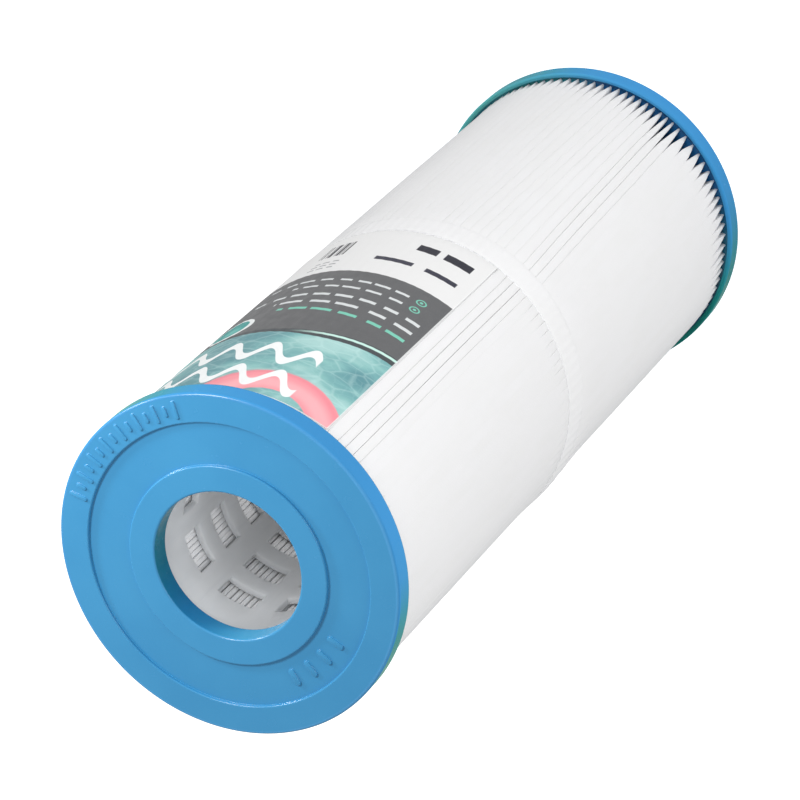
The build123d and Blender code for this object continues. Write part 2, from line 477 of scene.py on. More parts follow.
def core_plastic():
    """White plastic, faintly drawn along the axis."""
    mat = Material("core_white_plastic")
    place = mat.coords()
    cloud = mat.noise(place, scale=45.0).step(lo=0.3, hi=0.7)
    colour = mat.mix(cloud, rgb(226, 227, 228), rgb(236, 237, 238))
    streak = mat.noise(mat.scaled(place, (1.0, 1.0, 0.06)), scale=420.0)
    colour = mat.mix(streak.step(lo=0.5, hi=0.8) * 0.25, colour, rgb(212, 214, 217))
    grain = mat.noise(place, scale=260.0, detail=2.0)
    mat.set(
        Base_Color=colour,
        Roughness=grain.step(lo=0.2, hi=0.8) * 0.12 + 0.52,
        Specular_IOR_Level=0.35,
    )
    normal = mat.bump(
        (mat.noise(mat.scaled(place, (1.0, 1.0, 0.05)), scale=300.0), 0.12, 0.0002),
        (mat.noise(place, scale=90.0, detail=2.0), 0.15, 0.0008),
    )
    mat.translucent(0.45, colour, normal)
    return mat.data


def hot_melt(name):
    """Glossy off-white glue with small bubbles."""
    mat = Material(name)
    place = mat.coords()
    cloud = mat.noise(place, scale=300.0).step(lo=0.3, hi=0.7)
    colour = mat.mix(cloud, rgb(228, 226, 214), rgb(240, 239, 231))
    bubbles = mat.voronoi(place, scale=900.0)
    colour = mat.mix(bubbles.step(lo=0.2, hi=0.05) * 0.3, colour, rgb(250, 250, 246))
    grain = mat.noise(place, scale=700.0, detail=2.0)
    mat.set(Base_Color=colour, Roughness=grain.step(lo=0.2, hi=0.8) * 0.15 + 0.22)
    normal = mat.bump((mat.noise(place, scale=220.0), 0.5, 0.0004), (bubbles, 0.2, 0.0002))
    mat.translucent(0.3, colour, normal)
    return mat.data


def label_print():
    """Film printed with water, waves, plain bars and rings: shapes only, with no lettering.
    x is mm from the left edge, y is mm below the upper cap's face."""
    mat = Material("label_print")
    uv = mat.uv()
    x, z, _ = mat.split(uv)
    y = HEIGHT - z

    def between(value, lo, hi, soft=0.12):
        return value.step(lo - soft, lo + soft) * value.fall(hi - soft, hi + soft)

    def box(left, right, top, bottom):
        return between(x, left, right) * between(y, top, bottom)

    def distance(across, down):
        return ((x - across) * (x - across) + (y - down) * (y - down)).sqrt()

    def disc(across, down, radius, soft=0.2):
        return distance(across, down).fall(radius - soft, radius + soft)

    def ring(across, down, radius, width, soft=0.15):
        off_line = (distance(across, down) - radius).abs()
        return off_line.fall(width / 2 - soft, width / 2 + soft)

    def words(left, right, middle, height, pitch, seed):
        """A row of bars of uneven length with gaps between, standing for a line of words."""
        place = (x - left) / pitch
        along = place.fract()
        length = mat.white(place.floor() + seed) * 0.28 + 0.58
        bar = along.step(0.0, 0.02) * (along - length).fall(-0.01, 0.01)
        return bar * box(left, right, middle - height / 2, middle + height / 2)

    # water picture
    flow = mat.sheet_noise(uv, (0.030, 0.050), detail=2.0, rough=0.4)
    colour = mat.ramp(
        mat.sheet_noise(uv, (0.028, 0.05)).step(lo=0.34, hi=0.66),
        (0.0, (88, 144, 152)), (0.4, (110, 167, 170)),
        (0.75, (132, 187, 185)), (1.0, (166, 209, 206)),
    )
    wide_net = mat.join(x * 0.10 + flow * 0.8, y * 0.16 + flow * 0.8)
    fine_net = mat.join(x * 0.23 - flow * 0.6, y * 0.30 + flow * 0.5)
    for net, width, share, pale in (
        (wide_net, 0.09, 0.20, rgb(206, 236, 233)),
        (fine_net, 0.08, 0.09, rgb(190, 226, 226)),
    ):
        line = mat.voronoi(net, 1.0, "DISTANCE_TO_EDGE").fall(0.0, width)
        colour = mat.mix(line * share, colour, pale)
    # float ring, cut by the label's edges, with a highlight and a shaded rim
    across, down = 21.0, 2.0
    colour = mat.mix(ring(across, down, 22.0, 13.5, soft=0.25), colour, rgb(244, 150, 160))
    glint = ring(across - 0.6, down - 0.8, 21.0, 6.5, soft=2.2)
    colour = mat.mix(glint * 0.55, colour, rgb(255, 190, 194))
    shade = ring(across + 0.8, down + 1.0, 27.0, 2.5, soft=1.0)
    colour = mat.mix(shade * 0.35, colour, rgb(226, 116, 132))
    # two rows of white waves
    swing, half_stroke, per_mm = 5.4, 2.875, 0.42  # mm, mm, radians per mm
    for row, (middle, left) in enumerate(((23.6, 17.0), (43.4, 18.5))):
        curve = y - middle + (x * per_mm + row * 1.7).sin() * swing
        stroke = curve.abs().fall(half_stroke - 0.2, half_stroke + 0.2)
        white = stroke * between(x, left, 101.0, soft=0.3)
        colour = mat.mix(white, colour, rgb(244, 247, 247))
    # dark panel under a curved edge, with a pale line along it
    edge = x.fall(0.0, 34.0) * 5.0 + 60.6
    colour = mat.mix((y - edge).step(-0.15, 0.15), colour, rgb(60, 66, 70))
    slope = x.fall(-4.0, 46.0) * 7.6 + 61.8
    line = (y - slope).abs().fall(0.55, 0.95) * x.fall(24.0, 40.0)
    colour = mat.mix(line, colour, rgb(196, 232, 222))
    colour = mat.mix((y - slope - 1.4).step(-0.15, 0.15), colour, rgb(92, 93, 95))
    # bars in the dark panel: left, right, middle, height, pitch, seed, colour
    mint, pale = rgb(118, 200, 178), rgb(214, 218, 219)
    for *row, ink in (
        (3.6, 53.0, 82.6, 1.9, 9.4, 3.0, mint),
        (3.6, 57.5, 89.3, 1.9, 10.6, 11.0, pale),
        (3.6, 69.5, 96.0, 1.9, 8.7, 27.0, pale),
        (14.2, 57.0, 103.8, 1.5, 8.1, 41.0, pale),
        (14.2, 69.5, 110.0, 1.5, 7.3, 57.0, pale),
    ):
        colour = mat.mix(words(*row), colour, ink)
    for middle in (103.8, 110.0):
        colour = mat.mix(ring(9.4, middle, radius=1.75, width=0.55), colour, mint)
        colour = mat.mix(disc(9.4, middle, radius=0.65, soft=0.12), colour, mint)
    # round badge over the panel's edge
    colour = mat.mix(disc(67.0, 72.0, radius=9.2), colour, rgb(238, 242, 242))
    colour = mat.mix(disc(67.4, 72.2, radius=7.6), colour, rgb(26, 150, 146))
    glint = disc(65.2, 69.8, radius=3.4, soft=1.6)
    colour = mat.mix(glint * 0.45, colour, rgb(120, 214, 204))
    # white panel, with two rows of large bars, three of small ones and a block of stripes
    colour = mat.mix(y.step(118.35, 118.6), colour, rgb(231, 231, 231))
    colour = mat.mix(words(5.1, 40.0, 132.2, 3.0, 17.5, 5.0), colour, rgb(38, 38, 58))
    colour = mat.mix(words(5.1, 32.5, 146.8, 5.0, 13.7, 19.0), colour, rgb(22, 22, 40))
    for i, middle in enumerate((123.8, 126.9, 130.0)):
        small = words(50.5, 62.0, middle, 1.1, 3.9, 71.0 + 9 * i)
        colour = mat.mix(small * 0.75, colour, rgb(120, 122, 128))
    stripe = mat.white((x * 2.5).floor() + 0.5)
    stripes = box(51.5, 63.0, 136.5, 149.5) * stripe.step(lo=0.48, hi=0.56)
    colour = mat.mix(stripes, colour, rgb(52, 52, 60))
    # wear: the print is a little uneven, and the film's very edge is unprinted
    grain = mat.sheet_noise(uv, (2.0, 2.0))
    colour = mat.mix(grain.step(lo=0.55, hi=0.85) * 0.05, colour, rgb(255, 255, 255))
    printed_x = x.step(0.15, 0.45) * x.fall(104.2, 104.6)
    rim = 1.0 - printed_x * y.fall(159.0, 159.3) * y.step(11.75, 12.0)
    colour = mat.mix(rim * 0.85, colour, rgb(240, 242, 242))
    mat.set(
        Base_Color=colour,
        Roughness=mat.sheet_noise(uv, (0.25, 0.2)).step(lo=0.2, hi=0.8) * 0.12 + 0.40,
        Specular_IOR_Level=0.35,
    )
    mat.bump(
        (mat.sheet_noise(uv, (0.30, 0.06), detail=2.0), 0.18, 0.0006),
        (grain, 0.10, 0.00005),
    )
    return mat.data


def floor_material():
    """Pale paper, shown bright to the camera so that it stays plain, and dimmer to the object
    so that it throws little light back."""
    mat = Material("pale_floor")
    cloud = mat.noise(mat.coords(), scale=3.0).step(lo=0.2, hi=0.8)
    mat.set(
        Base_Color=mat.mix(cloud, rgb(247, 247, 247), rgb(250, 250, 250)),
        Roughness=0.9,
        Specular_IOR_Level=0.0,
        Emission_Color=(1, 1, 1, 1),
        Emission_Strength=0.62,
    )
    dim = mat.node("BsdfDiffuse")
    dim.inputs[0].default_value = (0.8, 0.8, 0.8, 1)
    mat.mix_output(mat.node("LightPath").outputs["Is Camera Ray"], dim, mat.shader)
    return mat.data


MAT_CAP = urethane()
MAT_MEDIA = polyester("pleat_polyester", tone=1.0, share=0.15, inside=True)
MAT_STRAP = polyester("strap_polyester", tone=0.982, share=0.10, cut_edge=STRAP_Z1)
MAT_CORE = core_plastic()
MAT_BEAD = hot_melt("seam_hot_melt")
MAT_GLUE = hot_melt("strap_hot_melt")
MAT_LABEL = label_print()


# ------------------------------------------------------------------ pleat layout
def gap_angles():
    """Angles in radians of the gaps between outer folds, unevenly spaced round the pack."""
    rng = np.random.default_rng(29)
    nominal = SEAM_AT + 360.0 * np.arange(PLEATS) / PLEATS
    uneven = np.clip(rng.standard_normal(PLEATS) * 0.085, -0.17, 0.19)
    pitch = 1.0 - 0.10 * np.sin(np.radians(nominal - CAM_AZ)) + uneven
    pitch *= 2 * np.pi / pitch.sum()
    return math.radians(SEAM_AT) - pitch[0] / 2 + np.concatenate([[0.0], np.cumsum(pitch)])


GAP_A = gap_angles()
TIP_A = (GAP_A[:-1] + GAP_A[1:]) / 2  # angle of each outer fold
ROOT_A = GAP_A[1:]  # angle of each inner fold

# heights of the sheet's points, mm
ROWS = np.array([
    3.6, 5.6, 6.4, 7.6, 9.4, 11.6, 14.2, 17.2, 21.0, 26, 34, 47, 62, 80, 98, 116, 132, 146,
    155, 160, 163.2, 165.6, 171.5, 177.4, 179.8, 183, 188, 197, 212, 230, 248, 266, 284, 299,
    311, 320.0, 324.5, 326.6, 328.0, 329.4, 330.6, 331.6, 332.4, 334.4,
])
LOW_END = 100.0  # below this height the lower potting's flare rules
LOW_REACH, HIGH_REACH = 15.5, 5.0  # height over which the folds open from each potting


def pleat_noise(seed, step, blur=0.0, amp=1.0):
    """Smooth noise over (pleat, row): a random lattice every step mm, blurred over
    neighbouring pleats."""
    rng = np.random.default_rng(seed)
    grid = rng.standard_normal((PLEATS, int(HEIGHT / step) + 4))
    if blur > 0:
        away = np.minimum(np.arange(PLEATS), PLEATS - np.arange(PLEATS))
        weight = np.exp(-0.5 * (away / blur) ** 2)
        spectrum = np.fft.fft(grid, axis=0) * np.fft.fft(weight)[:, None]
        blurred = np.fft.ifft(spectrum, axis=0).real
        grid = blurred / blurred.std()
    place = ROWS / step + 1.0
    cell = np.floor(place).astype(int)
    part = smooth(place - cell)
    return amp * (grid[:, cell] * (1 - part) + grid[:, cell + 1] * part)


def opened(z, reach):
    """0 where the folds leave the potting, 1 where they stand fully open."""
    clear = np.minimum(z - FLOOR, HEIGHT - FLOOR - z)
    return 1 - (1 - np.clip(clear / reach, 0, 1)) ** 1.12


def swell(angle, z):
    """How far the pack stands out from its mean radius, mm, at an angle in radians."""
    off = off_camera(angle)
    off_lump = np.abs(wrap(off + 92))
    off_flat = np.abs(wrap(off - 90))
    out = 0.10 * np.sin(2 * angle + 0.7)
    out = out + 0.12 * np.sin(np.pi * np.clip((z - 20) / 130, 0, 1)) ** 2
    out = out - (0.28 + 0.22 * smooth((z - STRAP_Z1) / 20.0)) * bell(off_flat, 30)
    out = out + 0.14 * bell(off_lump, 40)
    pinch = -0.42 * bell(z - STRAP_MID, 8.8, 8)
    lump = 1.15 * bell(off_lump, 19) * bell(z - 168, 17.5)
    return out + pinch + lump


def sway(angle, z):
    """How far the folds lean along the arc, mm: most near the label's edge."""
    below = [0, 10, 160, 174, 300, 338]  # mm below the upper face
    lean = np.interp(HEIGHT - z, below, [-0.55, -0.55, -0.25, -0.5, 0.5, 0.55])
    return 4.0 * bell(off_camera(angle), 14.0) * lean


def fold_layout():
    """Place and shape of every outer fold at every row, as (pleat, row) arrays:
    angle and radius of the crown, half the width, depth of the rounded edges, the exponent of
    the outline, the radius the width is measured on, and how far the fold has opened."""
    z = ROWS
    low_end = z < LOW_END
    # degrees from the camera; gap k is on fold k's first side
    gap_off = off_camera(GAP_A[:-1])[:, None]
    tip_off = off_camera(TIP_A)[:, None]
    upper = smooth((z - 160) / 30.0)[None, :]
    strapped = bell(z - STRAP_MID, 8.0, 4)[None, :]

    # the flare out of the lower potting is shorter on both flanks
    flank = 1 - 0.45 * smooth((np.abs(tip_off + 8) - 42) / 25.0) * (np.abs(tip_off) < 110)
    reach = np.where(low_end, LOW_REACH * flank, HIGH_REACH)
    reach = reach + pleat_noise(3, 400.0) * np.where(low_end, 1.6, 0.4)[None, :]
    reach = reach + 12.0 * bell(tip_off - 1.5, 5.5) * low_end[None, :]
    opening = opened(z, reach)

    # most folds lie tight against each other; they are looser on the label's side of the
    # camera, and loosest out of its sight
    side = smooth((gap_off + 7) / 12.0) * (1 - smooth((gap_off - 75) / 20.0))
    hidden = smooth((np.abs(gap_off) - 64) / 34.0)
    calm = smooth((gap_off + 62) / 8.0) * (1 - smooth((gap_off + 5) / 8.0))
    base = 0.002 * (1 - 0.8 * calm) + 0.007 * side * (1 - 0.4 * upper) + 0.026 * hidden
    loose = np.clip(pleat_noise(31, 110.0) - 1.15, 0, 1.2) * 0.14 * hidden
    gap = np.clip(base * (1 + 0.5 * pleat_noise(5, 60.0)) + loose, 0.0004, 0.40)
    # wider gaps facing the camera: pleats from the middle one, extra mm in upper, lower part
    middle = int(np.argmin(np.abs(gap_off[:, 0] - 0.6)))
    for shift, high_extra, low_extra in (
        (-1, 0.004, 0.001), (0, 0.058, 0.034), (1, 0.026, 0.024), (2, 0.012, 0.002),
        (3, 0.006, 0.001),
    ):
        gap[(middle + shift) % PLEATS] += (high_extra * upper + low_extra * (1 - upper))[0]
    # short nips just above the strap
    nip = 0.6 * bell(z - 180.3, 2.0)[None, :]
    nip = nip * (smooth((gap_off + 66) / 8) * (1 - smooth((gap_off - 2) / 8)))
    gap = gap + nip * np.clip(0.035 + 0.04 * pleat_noise(37, 400.0), 0.0, 0.12)
    gap = gap * (1 - 0.7 * strapped)

    # left and right limits of each outer fold, mm along the arc
    lean = pleat_noise(11, 60.0, blur=1.2, amp=0.20) * (1 - 0.6 * strapped) * opening
    lean = lean + sway(GAP_A[:-1, None], z[None, :])
    bulge = swell(TIP_A[:, None], z[None, :]) * opening
    arc_r = TIP_R + SHEET / 2 - 0.027 + bulge
    slack = gap + 0.058 * (0.60 + 0.40 * upper) * (1 - 0.95 * calm)
    left = GAP_A[:-1, None] * arc_r + lean + slack / 2 + SHEET / 2
    right = GAP_A[1:, None] * arc_r + np.roll(lean, -1, 0) - np.roll(slack, -1, 0) / 2 - SHEET / 2

    uneven = pleat_noise(13, 55.0, blur=0.5, amp=0.016)
    radius = TIP_R + uneven * (1 - 0.8 * calm + 1.6 * hidden + side) * opening
    radius = radius - 0.8 * flank**3 * (1 - opening) ** 2 + bulge
    half = (right - left) / 2 * opening
    half = half + (0.26 + 0.02 * np.abs(pleat_noise(17, 500.0))) * (1 - opening)
    half[0] = 1.05  # the seam, between the sheet's two ends
    depth = 0.002 * (1 - 0.7 * calm) + 1.3 * np.maximum(gap, np.roll(gap, -1, 0))
    worn = np.abs(pleat_noise(19, 90.0, blur=0.5)) * (0.5 * side + hidden)
    depth = (depth + 0.008 * worn + 0.16 * nip) * opening + 0.8 * (1 - opening) ** 1.5
    closed_at = TIP_A[:, None] + sway(TIP_A[:, None], z[None, :]) / arc_r
    angle = (left + right) / 2 / arc_r * opening + closed_at * (1 - opening)
    return SimpleNamespace(
        angle=angle, radius=radius, half=half, depth=depth,
        power=2.0 / (2.0 + 3.6 * opening**2), arc_r=arc_r, opening=opening,
    )


def outer_fold(folds, k):
    """Points over the crown of outer fold k, each an array of (row, x and y)."""
    out, along = directions(folds.angle[k])
    points = []
    for turn in np.radians([-90, -70, -40, 0, 40, 70, 90]):
        sin, cos = math.sin(turn), abs(math.cos(turn))
        x = folds.half[k] * np.sign(sin) * abs(sin) ** folds.power[k]
        y = -folds.depth[k] * (1 - cos ** folds.power[k])
        y = y - x * x / (2 * folds.arc_r[k]) * folds.opening[k]
        points.append((folds.radius[k] + y)[:, None] * out + x[:, None] * along)
    return points


ROOT_NOISE = np.clip(pleat_noise(23, 30.0, amp=0.018), -0.025, 0.025)


def inner_fold(k):
    """Points round inner fold k."""
    half, depth = 0.64, 0.42
    out, along = directions(ROOT_A[k])
    noise = ROOT_NOISE[k]
    centre = (ROOT_R + half + 5.0 * np.abs(noise))[:, None] * out + noise[:, None] * along
    points = []
    for turn in np.radians([-90, -52, 0, 52, 90]):
        sideways = half * np.sign(turn) * abs(math.sin(turn)) ** 0.7
        points.append(centre + along * sideways - out * (depth * abs(math.cos(turn)) ** 0.7))
    return points


def pleat_sheet(folds):
    """The whole pleated sheet, one closed solid from one side of the seam to the other."""
    out, along = directions(folds.angle[0])

    def seam_point(below, sign):
        return (folds.radius[0] - below)[:, None] * out + sign * folds.half[0][:, None] * along

    points = [seam_point(0.35, 1), seam_point(1.3, 1)] + inner_fold(0)
    for k in range(1, PLEATS):
        points += outer_fold(folds, k) + inner_fold(k)
    points += [seam_point(1.3, -1), seam_point(0.35, -1)]
    line = np.array(points)  # (section, row, x and y)
    sections, rows = line.shape[:2]

    # at a fold, the mean of the two unit directions keeps the sheet's thickness
    leg = np.diff(line, axis=0)
    length = np.linalg.norm(leg, axis=-1, keepdims=True)
    unit = leg / length
    run = np.empty_like(line)
    run[1:-1] = unit[1:] + unit[:-1]
    run[0], run[-1] = leg[0], leg[-1]
    run /= np.linalg.norm(run, axis=-1, keepdims=True)
    normal = np.stack([run[..., 1], -run[..., 0]], -1)
    # mitred corners, so that the outer face is flat up to each fold's edge
    mitre = np.ones((sections, rows, 1))
    mitre[1:-1] = 1.0 / np.clip((unit[1:] * run[1:-1]).sum(-1, keepdims=True), 0.72, 1.0)
    z = np.broadcast_to(ROWS, (sections, rows))
    verts = np.concatenate([
        np.concatenate([face, z[..., None]], -1).reshape(-1, 3)
        for face in (line + normal * mitre * SHEET / 2, line - normal * SHEET / 2)
    ])
    arc = np.concatenate([[0.0], np.cumsum(length[:, rows // 2, 0])])
    u = np.broadcast_to(arc[:, None], (sections, rows))
    uv = np.tile(np.stack([u, z], -1).reshape(-1, 2), (2, 1))

    section, row = np.meshgrid(np.arange(sections - 1), np.arange(rows - 1), indexing="ij")
    corner = (section * rows + row).ravel()
    back = sections * rows  # first point of the inner face
    quads = np.stack([corner, corner + rows, corner + rows + 1, corner + 1], -1)
    faces = [quads, quads[:, ::-1] + back]

    def close(start, stride, flip):
        """Joins both faces along one border."""
        strip = np.stack([start, start + back, start + stride + back, start + stride], -1)
        faces.append(strip[:, ::-1] if flip else strip)

    for row, flip in ((0, False), (rows - 1, True)):
        close(np.arange(sections - 1) * rows + row, rows, flip)
    for section, flip in ((0, True), (sections - 1, False)):
        close(np.arange(rows - 1) + section * rows, 1, flip)
    obj = make("pleat_pack", verts, np.concatenate(faces).tolist(), uv, sharp=48)
    dress(obj, MAT_MEDIA, "pleated_media")


FOLDS = fold_layout()
pleat_sheet(FOLDS)


# ------------------------------------------------------------------ strap and its glue
def envelope(angle, z):
    """Radius of a film stretched over the folds, mm."""
    opening = opened(z, np.where(z < LOW_END, LOW_REACH, HIGH_REACH))
    return TIP_R + SHEET / 2 + 0.08 + swell(angle, z) * opening - 0.1 * (1 - opening)


def dip(angle):
    """0 on each outer fold and 1 midway to the next, for angles in radians."""
    turn = (angle - TIP_A[0]) % (2 * np.pi)
    tips = np.concatenate([TIP_A - TIP_A[0], [2 * np.pi]])
    k = np.clip(np.searchsorted(tips, turn, side="right") - 1, 0, PLEATS - 1)
    phase = (turn - tips[k]) / (tips[k + 1] - tips[k])
    return phase, 0.5 - 0.5 * np.cos(2 * np.pi * phase)


def ribbon(name, degrees, radius, z0, z1, thick, corner, wave, levels):
    """Closed strip along the given azimuths: radius(angle, z) gives its inner face and
    wave(angle, z) moves it up and down."""
    heights = np.linspace(z0 + corner, z1 - corner, levels)
    # inset of each corner's points from the face and from the edge
    inset = [(corner * (1 - math.cos(q)), corner * (1 - math.sin(q))) for q in np.radians([30, 60])]
    inset.append((corner, 0.0))
    profile = [(thick, z) for z in heights]
    profile += [(thick - deep, z1 - in_) for deep, in_ in inset]
    profile += [(deep, z1 - in_) for deep, in_ in inset[::-1]]
    profile += [(0.0, z) for z in heights[::-1]]
    profile += [(deep, z0 + in_) for deep, in_ in inset]
    profile += [(thick - deep, z0 + in_) for deep, in_ in inset[::-1]]
    angle = np.radians(degrees)
    verts = np.empty((len(angle), len(profile), 3))
    uv = np.empty((len(angle), len(profile), 2))
    for j, (rise, level) in enumerate(profile):
        z = level + wave(angle, level)
        r = radius(angle, z) + rise
        verts[:, j] = np.stack([r * np.cos(angle), r * np.sin(angle), z], -1)
        uv[:, j] = np.stack([(angle - angle[0]) * ARC_R, z], -1)
    faces = skin(len(angle), len(profile))
    return outward(make(name, verts.reshape(-1, 3), faces, uv.reshape(-1, 2), sharp=60))


WAVE_START = np.random.default_rng(41).uniform(0, 2 * np.pi, 6)


def strap_wave(angle, z):
    wave = 0.10 * np.sin(3 * angle + WAVE_START[0]) + 0.06 * np.sin(11 * angle + WAVE_START[1])
    return wave + 0.10 * np.cos(2 * np.pi * dip(angle)[0] + z)


def strap_radius(angle, z):
    """The strap's inner face, stepping up where the strap laps over its own start."""
    turned = angle - math.radians(STRAP_AT)
    lap = smooth((turned - math.radians(353.5)) / math.radians(5.5)) * (STRAP_T + 0.13)
    edge = bell(z - STRAP_Z0, 1.5) + bell(z - STRAP_Z1, 1.5)
    return envelope(angle, z) - 0.16 * dip(angle)[1] - 0.05 * edge + lap + 0.02


def glue_radius(angle, z):
    return strap_radius(angle, z) + STRAP_T - 0.02


def glue_wave(angle, z):
    side = np.where(z > STRAP_MID, 1.0, -1.0)
    return side * (0.35 * np.sin(9 * angle + 1.0) + 0.22 * np.sin(23 * angle + 2.0 + side))


strap = ribbon(
    "mid_strap",
    np.arange(STRAP_AT, STRAP_AT + 360 + 24.01, 0.58),
    strap_radius,
    STRAP_Z0,
    STRAP_Z1,
    thick=STRAP_T,
    corner=0.13,
    wave=strap_wave,
    levels=7,
)
dress(strap, MAT_STRAP, "mid_band")
glue = ribbon(
    "strap_glue",
    np.arange(STRAP_AT + 1.2, STRAP_AT + 23.9, 0.55),
    glue_radius,
    STRAP_Z0 + 0.7,
    STRAP_Z1 - 0.7,
    thick=0.17,
    corner=0.06,
    wave=glue_wave,
    levels=5,
)
dress(glue, MAT_GLUE, "band_seam_adhesive")


# ------------------------------------------------------------------ seam bead
def seam_bead(folds):
    """Glue bead filling the seam between the sheet's ends, crowned outside and inside."""
    z = np.linspace(ROWS[0], ROWS[-1], 150)
    row = np.clip(np.searchsorted(ROWS, z) - 1, 0, len(ROWS) - 2)
    part = (z - ROWS[row]) / (ROWS[row + 1] - ROWS[row])
    radius, angle, half = (
        values[0][row] * (1 - part) + values[0][row + 1] * part
        for values in (folds.radius, folds.angle, folds.half)
    )
    half = half - SHEET / 2 + 0.06
    noise = np.random.default_rng(53).normal(0, 1, 60)
    lump = np.interp(z, np.linspace(0, 338, 60), noise)
    # share of the half width, mm from the top, share of the crown
    profile = [(q, 0.0, 1 - q * q) for q in np.linspace(-1, 1, 9)]
    profile += [(q, -2.9, -0.6 * (1 - q * q)) for q in np.linspace(1, -1, 7)]
    verts = []
    for n in range(len(z)):
        out, along = directions(angle[n])
        top = radius[n] - 0.62 + 0.05 * lump[n]
        for q, drop, crown in profile:
            reach = top + drop + crown * (0.42 + 0.05 * lump[n])
            x, y = reach * out + q * half[n] * along
            verts.append((x, y, z[n]))
    faces = skin(len(z), len(profile), flip=True)
    obj = outward(make("media_seam_bead_melt", verts, faces, sharp=60))
    dress(obj, MAT_BEAD, "media_seam_bead")


seam_bead(FOLDS)


# ------------------------------------------------------------------ label
def label():
    """Film that spans the narrow gaps, follows the pack, and lifts a hair at its corners."""
    columns, rows, thick = 150, 90, 0.14
    angles = np.radians(np.linspace(LABEL_A0, LABEL_A1, columns))
    heights = np.linspace(LABEL_Z0, LABEL_Z1, rows)
    angle, z = np.meshgrid(angles, heights, indexing="ij")
    from_side = np.minimum(angle - angles[0], angles[-1] - angle) * ARC_R
    from_end = np.minimum(z - heights[0], heights[-1] - z)
    lift = 0.22 * np.exp(-from_side / 2.5) * np.exp(-from_end / 5.0)
    lift = lift + 0.06 * np.exp(-from_side / 1.2)
    inner = envelope(angle, z) + 0.02 - 0.07 * dip(angle)[1] + lift
    verts = np.concatenate([
        np.stack([r * np.cos(angle), r * np.sin(angle), z], -1).reshape(-1, 3)
        for r in (inner + thick, inner)
    ])
    uv = np.tile(np.stack([(angle - angles[0]) * ARC_R, z], -1).reshape(-1, 2), (2, 1))
    back = columns * rows  # first point of the inner face
    faces = []
    for i in range(columns - 1):
        for j in range(rows - 1):
            p = i * rows + j
            faces.append((p, p + rows, p + rows + 1, p + 1))
            faces.append((p + back, p + 1 + back, p + rows + 1 + back, p + rows + back))
    for i in range(columns - 1):
        p, q = i * rows, i * rows + rows - 1
        faces.append((p, p + back, p + rows + back, p + rows))
        faces.append((q, q + rows, q + rows + back, q + back))
    for j in range(rows - 1):
        p, q = j, (columns - 1) * rows + j
        faces.append((p, p + 1, p + 1 + back, p + back))
        faces.append((q, q + back, q + 1 + back, q + 1))
    obj = outward(make("label_film", verts, faces, uv, sharp=60))
    dress(obj, MAT_LABEL, "label")


label()


# ------------------------------------------------------------------ end caps
# half section of the lower cap: radius, z, rounding of the corner
CAP_OUTLINE = [
    (BORE_R, 0.0, 0.75),
    (COLLAR_R, 0.0, 0.5),
    (COLLAR_R, RECESS, 0.15),
    (RING_R, RECESS, 0.15),
    (RING_R, 0.0, 0.5),
    (CAP_R, 0.0, 1.0),
    (CAP_R, CAP_H, 0.8),
    (RIM_R, CAP_H, 0.8),
    (RIM_R, FLOOR, 0.3),
    (CORE_RI, FLOOR, 0.3),
    (CORE_RI, BORE_TOP, 0.3),
    (BORE_R, BORE_TOP, 0.3),
]


def rounded(outline, steps=6, support=0.25):
    """The closed outline with its corners rounded, and a support point each side of every
    rounding where there is room."""
    corners = [np.array(row[:2], float) for row in outline]
    points = []
    for i, corner in enumerate(corners):
        before = corners[i - 1] - corner
        after = corners[(i + 1) % len(corners)] - corner
        room_before, room_after = np.linalg.norm(before), np.linalg.norm(after)
        before, after = before / room_before, after / room_after
        radius = outline[i][2]
        angle = math.acos(np.clip(before @ after, -1, 1))
        cut = radius / math.tan(angle / 2)
        middle = before + after
        centre = corner + middle / np.linalg.norm(middle) * radius / math.sin(angle / 2)
        start, end = corner + before * cut, corner + after * cut
        if room_before > cut + 2 * support:
            points.append(start + before * support)
        first, last = start - centre, end - centre
        cosine = (first @ last) / (np.linalg.norm(first) * np.linalg.norm(last))
        sweep = math.acos(np.clip(cosine, -1, 1))
        for k in range(steps + 1):
            u = k / steps
            spoke = math.sin((1 - u) * sweep) * first + math.sin(u * sweep) * last
            points.append(centre + spoke / math.sin(sweep))
        if room_after > cut + 2 * support:
            points.append(end + after * support)
    return points


def with_floor_rings(points, count=16):
    """Divides the long straight run across the potting into count equal parts."""
    out = []
    for i, point in enumerate(points):
        following = points[(i + 1) % len(points)]
        out.append(point)
        level = abs(point[1] - FLOOR) < 1e-6 and abs(following[1] - FLOOR) < 1e-6
        if level and abs(following[0] - point[0]) > 3:
            out += [point + (following - point) * k / count for k in range(1, count)]
    return out


